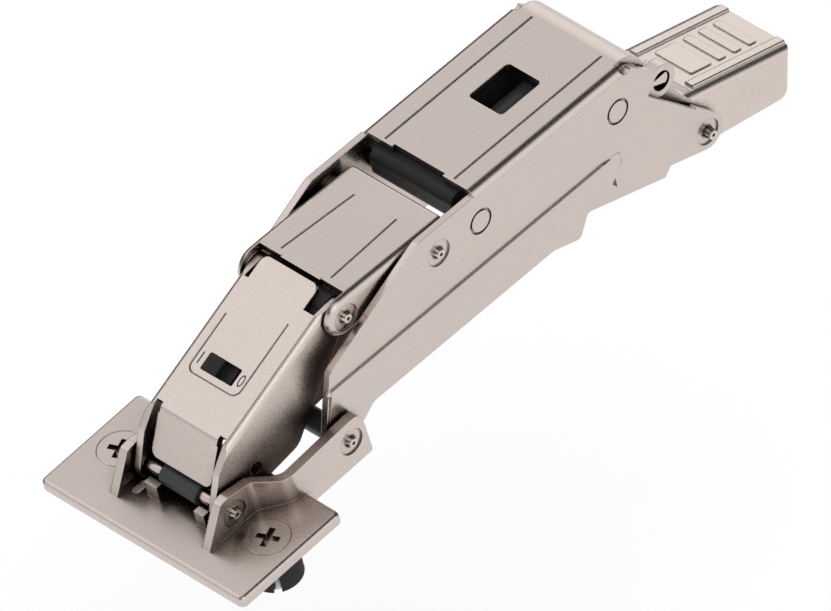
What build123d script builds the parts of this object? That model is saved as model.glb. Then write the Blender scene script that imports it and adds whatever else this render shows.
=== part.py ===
from build123d import *
import os
from math import asin, atan2, cos, degrees, hypot, radians, sin, tan

# Concealed wide-angle cabinet hinge with a flat door plate, shown fully open.
# Millimetres. X runs along the hinge arm into the cabinet, Y along the pivots,
# Z up. The origin is the middle of the arm's seat. The near side is -Y.

# Sheet thicknesses
arm_sheet = 1.6
outer_sheet = 1.45
middle_sheet = 1.5
front_sheet = 1.5
strap_sheet = 2.5
plate_sheet = 2.1
ear_sheet = 1.9

# Gaps between neighbouring sheets, which the washers fill
rear_gap = 0.59
middle_gap = 0.7
knee_gap = 0.4
ear_gap = 0.6
lower_gap = 0.65

# Half widths of the links, measured to their outer faces
arm_half = 9.96
outer_half = 14.35
middle_half = outer_half - outer_sheet - middle_gap
front_half = middle_half - middle_sheet - knee_gap
tail_half = arm_half + rear_gap + outer_sheet
ear_half = front_half + ear_gap + ear_sheet
bracket_half = outer_half + lower_gap + ear_sheet

# Pivots and pins
pin_radius = 1.4
pin_play = 0.05
tip_base_radius = 1.3
tip_end_radius = 0.92
tip_proud = 0.6
rear_tip_proud = 1.5
tip_hole_radius = 0.36
tip_hole_depth = 0.5
tip_teeth = 8
tip_tooth_gap = 0.26
tip_tooth_depth = 0.32
dimple_radius = 2.75
dimple_depth = 0.35
stake_radius = 1.5
stake_head_radius = 2.2
stake_recess_radius = 2.7
stake_recess_depth = 0.45
washer_radius = 3.2
washer_gap = 0.04
control_play = 1.2
control_drift = (0.5, -1.0)
front_pin_play = 0.7

# Hinge arm, in the frame of its seat
rear_pivot = (-7.0, 5.3)
control_pivot = (-19.8, 23.3)
arm_rear = 16.7
arm_front = -11.5
arm_top_at_pivot = 13.1
arm_slope = -3.95
arm_corner_radius = 1.7
arm_rear_radius = 2.6
arm_eye_radius = 2.2
arm_web_front = -8.0
arm_rib_width = 2.3
arm_rib_height = 0.45
pad_height = 0.25
pad_half = 4.7
pad_spans = ((-4.0, 1.4), (3.2, 5.2), (7.15, 9.15), (11.05, 13.05))

# Clip lever at the back of the arm
clip_pivot = (8.0, 6.2)
clip_half = 6.4
clip_sheet = 1.4
clip_hook_depth = 1.1
clip_travel_room = 0.6
clip_spring_radius = 2.3
clip_wire = 0.6
clip_turns = 4

# Closing spring round the rear pivot pin
closing_spring_radius = 2.55
closing_wire = 1.1
closing_turns = 7
coil_pitch = 1.12

# Outer link, in its own frame: origin at the rear pivot, x along the cover
outer_tilt = 12.6
middle_pivot_in_outer = (-67.25, 25.2)
lower_pivot_in_outer = (-97.4, 3.35)
cover_height = 31.84
cover_front = -56.8
cover_rear = -17.2
cover_bend_radius = 2.0
cover_step = 0.7
cover_step_half = 6.4
side_rim_drop = 0.85
side_front_top = (-71.5, 3.0)
side_front_knee = (-97.0, 18.7)
side_lower_edge = 4.95
side_lower_front = -88.6
side_lower_rear = -41.8
hook_foot = (-35.2, 2.7)
hook_top = (-32.4, 7.1)
bump_outer = (-10.4, 25.2)
bump_inner = (-13.7, 21.4)
tail_radius = 3.8
lower_ear_radius = 3.9
lip_radius = 5.6
lip_half = 12.3
relief_radius = 1.25
tail_bend_from = (-11.06, 2.73)
tail_bend_to = (-3.26, 9.61)
tail_bend_run = 2.6
window_span = (-39.5, -29.0)
window_half = (-4.45, 4.05)
window_corner = 0.9
groove_at = 8.8
groove_width = 0.4
groove_depth = 0.22
bead_height = 14.25
bead_span = (-97.9, -23.5)
bead_radius = 0.75
bead_proud = 0.4
mark_points = ((-27.6, 11.2), (-24.9, 12.3), (-24.6, 7.4))
front_cross = (-56.5, 24.55)
rear_cross = (-21.0, 23.55)

# Damper inside the outer link
damper_front = -59.4
damper_rear = -18.6
damper_top_gap = 0.2
damper_rail_bottom = 23.7
damper_keel_bottom = 19.6
damper_half = 10.4
damper_keel_half = 7.3
damper_nose_radius = 1.9
damper_keel_front = -54.0
barrel_span = (-51.5, -25.5)
barrel_axis = 24.3
barrel_radius = 3.7
barrel_neck_radius = 2.6
barrel_pocket_play = 0.05
well_margin = 0.8

# Middle link, in its own frame: origin at the middle pivot
middle_tilt = 11.6
knee_in_middle = (-21.8, -0.1)
middle_web_top = 4.2
middle_web_front = -20.1
middle_web_rear = 4.6
middle_web_tab = 0.35
middle_web_tab_half = 5.0
middle_bend_radius = 1.6
middle_eye_radius = 4.2
control_in_middle = (0.63, -6.9)
control_lug_radius = 2.9
middle_groove = ((-18.9, 6.4), (-1.0, 5.4))
middle_groove_width = 0.3
middle_groove_depth = 0.18

# Inner link, a strap on the near side
strap_eye_radius = 3.4
strap_eye_bore = 2.1
strap_front_radius = 3.7
strap_half_height = 1.45
strap_crank = ((5.5, -4.6), (13.5, -4.6), (19.5, 0.0))
strap_outer_y = 12.7
strap_inner_y = 10.6
strap_bend = (0.42, 0.55)
stub_proud = 0.2
control_head_radius = 1.85
control_key = ((-1.9, -0.5), (1.9, -1.2), (1.9, 1.35), (-1.9, 0.3))

# Front link, in its own frame: origin at the front pivot
knee_rise = 6.05
front_web_top = 9.85
front_web_front = 8.5
front_web_rear = 36.6
front_bend_radius = 1.4
front_tongue_end = 41.8
front_tongue = (-6.2, 7.9)
front_eye_radius = 2.7
front_wall_nose = (3.3, 7.3)
front_wall_low = (17.6, -7.4)
front_wall_mid = (23.4, -4.3)
apron_foot = (0.9, 3.3)
apron_half = 7.6
apron_bend_radius = 2.2
apron_corner = 1.6
apron_relief = (7.3, 0.9)
panel_groove = ((16.6, 40.0), (-5.35, 7.3))
panel_groove_ends = (33.0, 29.0)
panel_corner = 1.7
panel_groove_width = 0.24
panel_groove_depth = 0.16
service_hole = (9.0, -0.8)
service_hole_radius = 1.3

# Switch in the front link
switch_span = (18.0, 21.6)
switch_window = (-2.95, 5.0)
switch_play = 0.12
switch_travel = 4.0
knob_length = 3.6
knob_proud = 0.15
carriage_span = (15.6, 24.0)
carriage_half = (-1.4, 7.4)
carriage_sheet = 1.1
insert_span = (13.2, 41.6)
insert_half = 8.7
insert_sheet = 1.3

# Door plate, in its own frame: origin at the middle of its upper face
plate_tilt = 15.0
lower_pivot_in_plate = (24.5, 1.85)
front_pivot_in_plate = (-1.2, 3.5)
plate_front = -14.0
plate_rear = 12.0
plate_half = 26.0
plate_corner = 1.25
plate_edge_round = 0.85
ear_foot_front = -10.2
ear_top = 8.2
ear_top_front = -2.8
ear_shoulder = 7.2
joggle_start = 3.6
joggle_end = 9.0
joggle_radius = 2.4
bracket_top = 6.4
bracket_bottom = -3.9
bracket_rear = 28.6
tab_spans = ((-8.5, -5.9), (3.6, 6.8))
tab_front = -5.1
tab_sheet = 1.5
tab_top = 3.5
notch_at = (-4.65, 9.2)
notch_size = (3.4, 1.7)
sleeve_radius = 2.2
sleeve_half = 4.65
roller_radius = 2.3
roller_gap = 0.3

# Fixings in the door plate
screw_spacing = 38.0
screw_head_radius = 4.3
screw_head_height = 1.5
screw_head_play = 0.05
screw_shank_radius = 2.0
screw_length = 9.2
recess_width = 1.15
recess_reach = 2.3
recess_depth = 1.0
dowel_radius = 5.0
dowel_collar = 1.6
dowel_neck = 0.4
dowel_barb_relief = 0.06
dowel_barb = 0.5
dowel_barbs = 4
dowel_length = 8.4
dowel_slot = 1.6
dowel_slot_turn = 45.0
core_radius = 3.2
core_length = 6.6


def turned(point, angle):
    """The point (x, z) turned about the origin, anticlockwise seen from the near side."""
    x, z = point
    a = radians(angle)
    return (x * cos(a) - z * sin(a), x * sin(a) + z * cos(a))


def shifted(origin, point, angle):
    """A link's own point (x, z) in the frame that the link is placed in."""
    x, z = turned(point, angle)
    return (origin[0] + x, origin[1] + z)


def placed(shape, origin, angle):
    """A link's solid, moved from its own frame to its pivot and tilt."""
    return Pos(origin[0], 0, origin[1]) * Rot(0, -angle, 0) * shape


def lobe(centre, radius):
    """Rounded end about centre, for an outline: its neighbours run to it as tangents."""
    return (centre[0], centre[1], radius, "lobe")


def tangent_point(point, centre, radius, side):
    """Where the line from point touches the circle; side is -1 before the lobe and 1 after it."""
    dx = centre[0] - point[0]
    dz = centre[1] - point[1]
    away = hypot(dx, dz)
    angle = atan2(dz, dx) + side * asin(radius / away)
    reach = (away ** 2 - radius ** 2) ** 0.5
    return (point[0] + reach * cos(angle), point[1] + reach * sin(angle))


def corner_points(corners):
    """Points of an outline, each with its rounding; a lobe gives its two tangent points, unrounded."""
    points = []
    for index, corner in enumerate(corners):
        if len(corner) > 3:
            after = corners[(index + 1) % len(corners)]
            points.append((*tangent_point(corners[index - 1], corner, corner[2], -1), 0.0))
            points.append((*tangent_point(after, corner, corner[2], 1), 0.0))
        else:
            points.append((corner[0], corner[1], corner[2] if len(corner) > 2 else 0.0))
    return points


def rounding_reach(before, corner, after):
    """Length that a corner's rounding takes from each of its two edges, and the same for radius 1."""
    back = atan2(before[1] - corner[1], before[0] - corner[0])
    ahead = atan2(after[1] - corner[1], after[0] - corner[0])
    half_angle = abs(sin((back - ahead) / 2)), abs(cos((back - ahead) / 2))
    unit = half_angle[1] / max(half_angle[0], 1e-6)
    return corner[2] * unit, unit


def fitted_roundings(points):
    """Radii of the outline's corners, each limited by the edges beside it."""
    count = len(points)
    reach = [rounding_reach(points[i - 1], points[i], points[(i + 1) % count]) for i in range(count)]
    radii = []
    for i in range(count):
        share = 1.0
        for j in (i - 1, (i + 1) % count):
            edge = hypot(points[i][0] - points[j][0], points[i][1] - points[j][1])
            wanted = reach[i][0] + reach[j][0]
            if wanted > 0.999 * edge:
                share = min(share, 0.999 * edge / wanted)
        radii.append(points[i][2] * share)
    return radii


def outline(corners):
    """Flat face from anticlockwise corners (x, y), (x, y, rounding) or lobes."""
    points = corner_points(corners)
    face = make_face(Polyline(*[point[:2] for point in points], close=True).edges())
    for corner in corners:
        if len(corner) > 3:
            face += Pos(corner[0], corner[1]) * Circle(corner[2])
    for point, radius in zip(points, fitted_roundings(points)):
        if radius > 0:
            vertex = face.vertices().sort_by_distance((point[0], point[1], 0))[0]
            face = fillet(vertex, radius)
    return face


def slab(corners, y_low, y_high):
    """Sheet or block with the side outline given as (x, z) corners, between two Y values."""
    return extrude(Plane.XZ.offset(-y_high) * outline(corners), y_high - y_low)


def rod(centre, radius, y_low, y_high):
    """Round bar along Y."""
    middle = (y_low + y_high) / 2
    return Pos(centre[0], middle, centre[1]) * Rot(90, 0, 0) * Cylinder(radius, y_high - y_low)


def block(x_low, x_high, y_low, y_high, z_low, z_high):
    """Plain block between its limits, for cutting and for square parts."""
    size = (x_high - x_low, y_high - y_low, z_high - z_low)
    return Pos(x_low, y_low, z_low) * Box(*size, align=(Align.MIN, Align.MIN, Align.MIN))


def both_sides(shape):
    """The shape and its mirror image on the other side of the hinge."""
    return [shape, mirror(shape, Plane.XZ)]


def along_x_edges(solid, y, z):
    """Edges that run along x at the given height, on both sides at the given width."""
    found = []
    for edge in solid.edges().filter_by(Axis.X):
        middle = edge.center()
        if abs(abs(middle.Y) - y) < 0.01 and abs(middle.Z - z) < 0.01:
            found.append(edge)
    return found


def dimpled(sheet, centre, y_face, bore):
    """Sheet with the shallow round recess and the bore of a pivot, on both sides."""
    for side in (-1, 1):
        outer = side * (y_face + 1)
        floor = side * (y_face - dimple_depth)
        inner = side * (y_face - 4)
        sheet -= rod(centre, dimple_radius, min(outer, floor), max(outer, floor))
        sheet -= rod(centre, bore, min(outer, inner), max(outer, inner))
    return sheet


def toothed_tip(half, proud):
    """Crown of a riveted pin about the Y axis: a blunt cone with radial teeth and a small centre hole."""
    base = half - dimple_depth
    end = half + proud
    section = [(0, base), (tip_base_radius, base), (tip_end_radius, end), (0, end)]
    crown = revolve(Plane.XY * make_face(Polyline(*section, close=True).edges()), Axis.Y)
    for index in range(tip_teeth):
        gap = Pos(tip_base_radius, (base + end) / 2, 0) * Box(2 * tip_tooth_depth, 2 * (end - base), tip_tooth_gap)
        crown -= Rot(0, index * 360 / tip_teeth, 0) * gap
    return crown - rod((0, 0), tip_hole_radius, end - tip_hole_depth, end + 1)


def pivot_pin(centre, half, proud=tip_proud):
    """Pin riveted into the sheets at +-half: shank, and a toothed crown at each end."""
    pin = rod(centre, pin_radius, -half + dimple_depth, half - dimple_depth)
    for crown in both_sides(toothed_tip(half, proud)):
        pin += Pos(centre[0], 0, centre[1]) * crown
    return pin


def washers(centre, low, high, bore):
    """Thin washers between two sheets, one on each side."""
    ring = rod(centre, washer_radius, low, high) - rod(centre, bore, low - 1, high + 1)
    return both_sides(ring)


def coil(radius, wire, turns, y_low):
    """Close-wound spring about the Y axis."""
    pitch = wire * coil_pitch
    path = Helix(pitch, pitch * turns, radius)
    section = Plane(path @ 0, z_dir=path % 0) * Circle(wire / 2)
    return Pos(0, y_low, 0) * Rot(-90, 0, 0) * sweep(section, path, is_frenet=True)


# Where the pivots come to lie
middle_pivot = shifted(rear_pivot, middle_pivot_in_outer, outer_tilt)
lower_pivot = shifted(rear_pivot, lower_pivot_in_outer, outer_tilt)
knee = shifted(middle_pivot, knee_in_middle, middle_tilt)
control_front = shifted(middle_pivot, control_in_middle, middle_tilt)
plate_origin = shifted(lower_pivot, (-lower_pivot_in_plate[0], -lower_pivot_in_plate[1]), plate_tilt)
front_pivot = shifted(plate_origin, front_pivot_in_plate, plate_tilt)
front_length = hypot(knee[0] - front_pivot[0], knee[1] - front_pivot[1])
front_line = degrees(atan2(knee[1] - front_pivot[1], knee[0] - front_pivot[0]))
front_tilt = front_line - degrees(asin(knee_rise / front_length))
knee_in_front = (front_length * cos(radians(front_line - front_tilt)), knee_rise)


def arm_top(x):
    """Height of the arm's upper face, which falls towards the cabinet."""
    return arm_top_at_pivot + (x - rear_pivot[0]) * tan(radians(arm_slope))


def hinge_arm():
    """Folded channel that carries both cabinet-side pivots and sits on the mounting plate."""
    body = slab([(arm_rear, 0, arm_rear_radius), (arm_rear, arm_top(arm_rear)),
                 (arm_front, arm_top(arm_front), 1.0), (arm_front, 0, 3.0)], -arm_half, arm_half)
    body = fillet(body.edges().filter_by(lambda e: abs(abs(e.center().Y) - arm_half) < 0.01
                                         and abs(e.center().Z - arm_top(e.center().X)) < 0.01
                                         and e.length > 10), arm_corner_radius)
    inner = arm_half - arm_sheet
    body -= slab([(arm_rear + 5, -5), (arm_rear + 5, arm_top(arm_rear + 5) - arm_sheet),
                  (arm_front - 5, arm_top(arm_front - 5) - arm_sheet), (arm_front - 5, -5)], -inner, inner)
    body -= block(arm_front - 5, arm_web_front, -inner, inner, -5, 40)
    # Near ear that reaches up to the control pivot
    foot = (arm_front + 0.3, arm_top(arm_front) - 6)
    heel = (arm_web_front - 0.6, arm_top(arm_web_front) - 1.5)
    right = (control_pivot[0] + arm_eye_radius * 0.7, control_pivot[1] - arm_eye_radius * 0.6)
    left = (control_pivot[0] - arm_eye_radius * 0.95, control_pivot[1] - arm_eye_radius * 0.2)
    body += slab([foot, heel, right, left], -arm_half, -inner)
    body += rod(control_pivot, arm_eye_radius, -arm_half, -inner)
    # Raised ribs along both upper edges, pads between them
    turned_top = Pos(rear_pivot[0], 0, arm_top_at_pivot) * Rot(0, -arm_slope, 0)
    rib_outer = arm_half - arm_corner_radius
    for side in (-1, 1):
        rib = Pos(0, side * (rib_outer - arm_rib_width / 2), 0) * extrude(
            Plane.YZ.offset(arm_web_front - rear_pivot[0] + 1)
            * SlotOverall(arm_rib_width, arm_rib_height * 2), arm_rear - arm_web_front)
        body += (turned_top * rib) & block(arm_web_front, arm_rear, -arm_half, arm_half, 0, 40)
    for low, high in pad_spans:
        length = high - low
        pad = Pos((low + high) / 2 - rear_pivot[0], 0, 0) * extrude(
            RectangleRounded(length, 2 * pad_half, 0.4), pad_height)
        body += turned_top * pad
    for side in (-1, 1):
        body -= rod(rear_pivot, pin_radius + pin_play, min(side * 5, side * 15), max(side * 5, side * 15))
    body -= rod(control_pivot, pin_radius, -arm_half - 1, -inner + 1)
    body -= rod(clip_pivot, pin_radius, -arm_half - 1, arm_half + 1)
    return body


def clip_lever():
    """Folded lever whose hooks hold the arm down on its mounting plate."""
    x, z = clip_pivot
    top = arm_top(x) - arm_sheet - clip_travel_room
    hook = (x + 3.2, clip_hook_depth)
    side = [(x - 2.4, z + 1.5, 1.0), (x - 2.4, z - 1.2, 1.0), (x + 0.4, clip_hook_depth + 1.2, 0.6),
            (hook[0] - 2.6, clip_hook_depth, 0.3), (hook[0], clip_hook_depth, 0.3),
            (hook[0] - 0.2, clip_hook_depth + 2.2, 0.5), (x + 6.3, z - 0.2, 0.8), (x + 6.3, top - 1.0, 0.8),
            (x, top - 1.0, 1.0)]
    lever = slab(side, -clip_half, clip_half)
    lever -= block(x - 10, x + 4.9, -clip_half + clip_sheet, clip_half - clip_sheet, -5, 30)
    return lever - rod(clip_pivot, pin_radius + pin_play, -20, 20)


def side_wall_outline():
    """Side outline of the outer link, in its own frame, from the tail round by the cover."""
    rim = cover_height - side_rim_drop
    knee_point = side_front_knee
    lower_front = (side_lower_front, side_lower_edge)
    ear = lobe(lower_pivot_in_outer, lower_ear_radius)
    tail = lobe((0, 0), tail_radius)
    return [tail, (*bump_inner, 0.8), (*bump_outer, 1.5), (cover_rear, cover_height, 0),
            (cover_front, cover_height, 0), (cover_front, rim, 0),
            (side_front_top[0], rim, side_front_top[1]),
            (*knee_point, 2.0), ear, (*lower_front, 2.5), (side_lower_rear, side_lower_edge, 0.6),
            (*hook_foot, 1.2), (*hook_top, 1.0)]


def joggled_tail(wall):
    """The near wall with the tail behind its bend line set inwards, to lie beside the arm."""
    run_x = tail_bend_to[0] - tail_bend_from[0]
    run_z = tail_bend_to[1] - tail_bend_from[1]
    line = Plane(origin=(tail_bend_from[0], 0, tail_bend_from[1]),
                 x_dir=(run_z, 0, -run_x), z_dir=(run_x, 0, run_z))
    inner = outer_half - outer_sheet
    step = outer_half - tail_half
    # In this plane x leads from the bend line to the pivot, and y is along the pivots or against them
    flip = 1 if line.y_dir.Y > 0 else -1
    far = 40
    beyond = extrude(line * outline([(0, -far), (far, -far), (far, far), (0, far)]), far * 2, both=True)
    profile = [(0, -flip * outer_half), (tail_bend_run, -flip * tail_half), (far, -flip * tail_half),
               (far, -flip * (tail_half - outer_sheet)), (tail_bend_run, -flip * (tail_half - outer_sheet)),
               (0, -flip * inner)]
    folded = extrude(line * outline(profile), far, both=True)
    silhouette = slab(side_wall_outline(), -outer_half, -outer_half + step + outer_sheet + 0.5)
    return (wall - beyond) + (folded & silhouette)


def outer_link():
    """Large folded lever: cover, two side walls with joggled tails, and a rolled rear lip."""
    inner = outer_half - outer_sheet
    under = cover_height - outer_sheet
    wall = joggled_tail(slab(side_wall_outline(), -outer_half, -inner))
    cover = block(cover_front, cover_rear, -outer_half, outer_half, under - 2, cover_height)
    cover = fillet(along_x_edges(cover, outer_half, cover_height), cover_bend_radius)
    cover -= block(cover_front - 1, cover_rear + 1, -inner, inner, under - 5, under)
    outside = block(cover_front, cover_rear, -outer_half - 1, outer_half + 1, under - 2, cover_height + 1)
    outside -= cover + block(cover_front - 1, cover_rear + 1, -inner, inner, under - 5, under)
    sides = wall + mirror(wall, Plane.XZ)
    link = (sides - outside) + cover
    # Rear lip, a quarter roll below the cover
    roll_z = cover_height - lip_radius
    lip = rod((cover_rear, roll_z), lip_radius, -lip_half, lip_half)
    lip -= rod((cover_rear, roll_z), lip_radius - outer_sheet, -lip_half - 1, lip_half + 1)
    lip &= block(cover_rear, cover_rear + lip_radius, -lip_half, lip_half, roll_z, cover_height)
    link += lip
    for side in (-1, 1):
        link -= rod((cover_rear, cover_height - 0.5), relief_radius,
                    min(side * lip_half, side * 20), max(side * lip_half, side * 20))
    # Window, step of the front edge and the two long grooves
    middle_x = sum(window_span) / 2
    middle_y = sum(window_half) / 2
    hole = RectangleRounded(window_span[1] - window_span[0], window_half[1] - window_half[0], window_corner)
    link -= Pos(middle_x, middle_y, under - 1) * extrude(hole, outer_sheet + 2)
    link -= block(cover_front - 1, cover_front + cover_step, -cover_step_half, cover_step_half,
                  under - 1, cover_height + 1)
    for side in (-1, 1):
        link -= Pos((cover_front + cover_rear) / 2, side * groove_at, cover_height) * Box(
            cover_rear - cover_front - 1.2, groove_width, groove_depth * 2)
    # Stiffening bead and the small pressed mark on each side wall
    bead_length = bead_span[1] - bead_span[0]
    bead = Pos(sum(bead_span) / 2, -outer_half + bead_radius - bead_proud, bead_height) * Rot(0, 90, 0) * Cylinder(
        bead_radius, bead_length)
    for end in bead_span:
        bead += Pos(end, -outer_half + bead_radius - bead_proud, bead_height) * Sphere(bead_radius)
    bead &= block(bead_span[0] - 2, bead_span[1] + 2, -outer_half - 2, -inner - 0.3, 0, 40)
    mark = slab(list(mark_points), -outer_half - 1, -outer_half + dimple_depth)
    for shape in both_sides(bead):
        link += shape
    for shape in both_sides(mark):
        link -= shape
    link = dimpled(link, middle_pivot_in_outer, outer_half, pin_radius)
    link = dimpled(link, (0, 0), tail_half, pin_radius)
    for side in (-1, 1):
        low, high = sorted((side * (inner - 1), side * (outer_half + 1)))
        link -= rod(lower_pivot_in_outer, pin_radius + pin_play, low, high)
        for cross in (front_cross, rear_cross):
            link -= rod(cross, stake_radius, low, high)
            face = sorted((side * (outer_half - stake_recess_depth), side * (outer_half + 1)))
            link -= rod(cross, stake_recess_radius, *face)
    return link


def cross_pin(centre):
    """Staked pin across the outer link, its heads flush in the side walls."""
    seat = outer_half - stake_recess_depth
    pin = rod(centre, stake_radius, -seat, seat)
    for head in both_sides(rod(centre, stake_head_radius, -outer_half, -seat)):
        pin += head
    return pin


def damper_housing():
    """Moulded carrier between the cross pins; its rounded nose is the stop for the middle link."""
    top = cover_height - outer_sheet - damper_top_gap
    rail = slab([(damper_front, damper_rail_bottom, damper_nose_radius),
                 (damper_rear, damper_rail_bottom, 0.5), (damper_rear, top - 2.6, 1.5),
                 (damper_rear - 4, top, 1.0), (damper_front, top, damper_nose_radius)],
                -damper_half, damper_half)
    keel_rear = damper_rear + 0.6
    keel_top = damper_rail_bottom + 1
    keel = slab([(damper_keel_front, damper_keel_bottom, 1.5), (keel_rear, damper_keel_bottom, 1.5),
                 (keel_rear, keel_top), (damper_keel_front, keel_top)],
                -damper_keel_half, damper_keel_half)
    housing = rail + keel
    length = barrel_span[1] - barrel_span[0]
    bore = Pos(sum(barrel_span) / 2, 0, barrel_axis) * Rot(0, 90, 0) * Cylinder(
        barrel_radius + barrel_pocket_play, length + 2 * barrel_pocket_play)
    housing -= bore
    well_x = window_span[0] - well_margin, window_span[1] + well_margin
    well_y = window_half[0] - well_margin / 2, window_half[1] + well_margin / 2
    housing -= block(*well_x, *well_y, barrel_axis, top + 1)
    for cross in (front_cross, rear_cross):
        housing -= rod(cross, stake_radius, -outer_half, outer_half)
    return housing


def damper_barrel():
    """Closed damper cylinder lying in the housing, seen through the window."""
    low, high = barrel_span
    profile = [(0, low), (barrel_neck_radius, low), (barrel_neck_radius, low + 2.0),
               (barrel_radius, low + 3.0), (barrel_radius, high - 1.2), (barrel_radius - 0.8, high), (0, high)]
    face = make_face(Polyline(*profile, close=True).edges())
    turned_body = revolve(Plane.XZ * face, Axis.Z)
    return Pos(0, 0, barrel_axis) * Rot(0, 90, 0) * turned_body


def middle_link():
    """Short channel between the middle pivot and the knee, open below."""
    lug = control_in_middle
    top = middle_web_top
    side = [(middle_web_rear, top, 0.8), (middle_web_front + 0.9, top),
            lobe(knee_in_middle, middle_eye_radius), (lug[0] - 6, lug[1] + 3.4, 3.0),
            lobe(lug, control_lug_radius), (middle_web_rear, top - 3.6, 1.2)]
    link = slab(side, -middle_half, middle_half)
    link -= block(-60, 60, -middle_half - 1, middle_half + 1, top, top + 20)
    inner = middle_half - middle_sheet
    link = fillet(along_x_edges(link, middle_half, top), middle_bend_radius)
    link -= block(-60, 60, -inner, inner, -60, top - middle_sheet)
    link -= block(-60, middle_web_front, -inner, inner, -60, top + 1)
    tab = block(middle_web_front - middle_web_tab, middle_web_front + 0.5, -middle_web_tab_half,
                middle_web_tab_half, top - middle_sheet, top)
    link += tab
    # Pressed line along each side of the web
    (groove_front, front_y), (groove_rear, rear_y) = middle_groove
    turn = degrees(atan2(rear_y - front_y, groove_rear - groove_front))
    line = Pos((groove_front + groove_rear) / 2, (front_y + rear_y) / 2, top) * Rot(0, 0, turn) * Box(
        hypot(groove_rear - groove_front, rear_y - front_y), middle_groove_width, 2 * middle_groove_depth)
    for shape in both_sides(line):
        link -= shape
    link = dimpled(link, knee_in_middle, middle_half, pin_radius)
    link -= rod((0, 0), pin_radius + pin_play, -30, 30)
    return link - rod(lug, pin_radius, -30, 30)


def inner_link():
    """Narrow strap on the near side: rolled rear eye, set inwards on its way to the middle link."""
    rear_x, rear_z = control_pivot
    front_x = control_front[0] + control_drift[0]
    front_z = control_front[1] + control_drift[1]
    length = hypot(front_x - rear_x, front_z - rear_z)
    bend_from = -length * strap_bend[0]
    bend_to = -length * strap_bend[1]
    wide = strap_outer_y
    deep = strap_inner_y
    plan = [(0, -wide), (bend_from, -wide), (bend_to, -deep), (-length - 8, -deep),
            (-length - 8, -deep + strap_sheet), (bend_to, -deep + strap_sheet),
            (bend_from, -wide + strap_sheet), (8, -wide + strap_sheet), (8, -wide)]
    ribbon = Pos(0, 0, -12) * extrude(outline(plan), 24)
    # The front stretch is cranked down, to pass below the middle link's web when closed
    half = strap_half_height
    low = [(x - length, z - half, 2.5) for x, z in strap_crank]
    high = [(x - length, z + half, 2.0) for x, z in reversed(strap_crank)]
    side = slab([(-length - half, -half), *low, (0, -half), (0, half), *high, (-length, half)], -20, 0)
    side += rod((0, 0), strap_eye_radius, -20, 0)
    side += rod((-length, 0), strap_front_radius, -20, 0)
    strap = ribbon & side
    strap -= rod((0, 0), strap_eye_bore, -20, 0)
    strap -= rod((-length, 0), pin_radius + control_play, -20, 0)
    angle = degrees(atan2(rear_z - front_z, rear_x - front_x))
    return placed(strap, control_pivot, angle)


def control_pin():
    """Short headed pin in the near ear of the arm, its end flattened inside the rolled eye."""
    inner = arm_half - arm_sheet
    pin = rod(control_pivot, pin_radius, -arm_half - 0.1, -inner + 0.2)
    pin += rod(control_pivot, control_head_radius, -inner, -inner + 0.9)
    head = rod(control_pivot, control_head_radius, -strap_outer_y + 0.3, -arm_half)
    key = Pos(control_pivot[0], 0, control_pivot[1]) * slab(list(control_key), -20, 0)
    return pin + (head & key)


def front_apron():
    """Flap folded down in front of the pivot, in one bend from the web."""
    top = front_web_top
    dx = apron_foot[0] - front_web_front
    dz = apron_foot[1] - top
    reach = hypot(dx, dz)
    inward = (-dz / reach * front_sheet, dx / reach * front_sheet)
    half_turn = atan2(-dz, -dx) / 2
    inner_corner = (front_web_front + front_sheet * tan(half_turn), top - front_sheet)
    foot_inner = (apron_foot[0] + inward[0], apron_foot[1] + inward[1])
    start = front_web_front + 3
    strip = slab([(start, top), (front_web_front, top, apron_bend_radius), apron_foot, foot_inner,
                  (*inner_corner, apron_bend_radius - front_sheet), (start, top - front_sheet)],
                 -apron_half, apron_half)
    face = outline([(reach + 4, -apron_half), (reach + 4, apron_half), (0, apron_half, apron_corner),
                    (0, -apron_half, apron_corner)])
    along = Plane(origin=(apron_foot[0], 0, apron_foot[1]), x_dir=(-dx, 0, -dz), z_dir=(dz, 0, -dx))
    return strip & extrude(along * face, 4 * front_sheet, both=True)


def panel_outline():
    """Thin pressed line round the switch: a U whose legs fade out up the web."""
    (low_x, high_x), (low_y, high_y) = panel_groove
    long_end, short_end = panel_groove_ends
    middle_x = (low_x + high_x) / 2
    middle_y = (low_y + high_y) / 2
    half = panel_groove_width / 2
    outer = RectangleRounded(high_x - low_x + 2 * half, high_y - low_y + 2 * half, panel_corner + half)
    inner = RectangleRounded(high_x - low_x - 2 * half, high_y - low_y - 2 * half, panel_corner - half)
    ring = Pos(middle_x, middle_y, front_web_top - panel_groove_depth) * extrude(outer - inner, 1)
    ring -= block(long_end, high_x + 1, -20, 20, 0, 20)
    return ring - block(short_end, high_x + 1, middle_y, 20, 0, 20)


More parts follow.
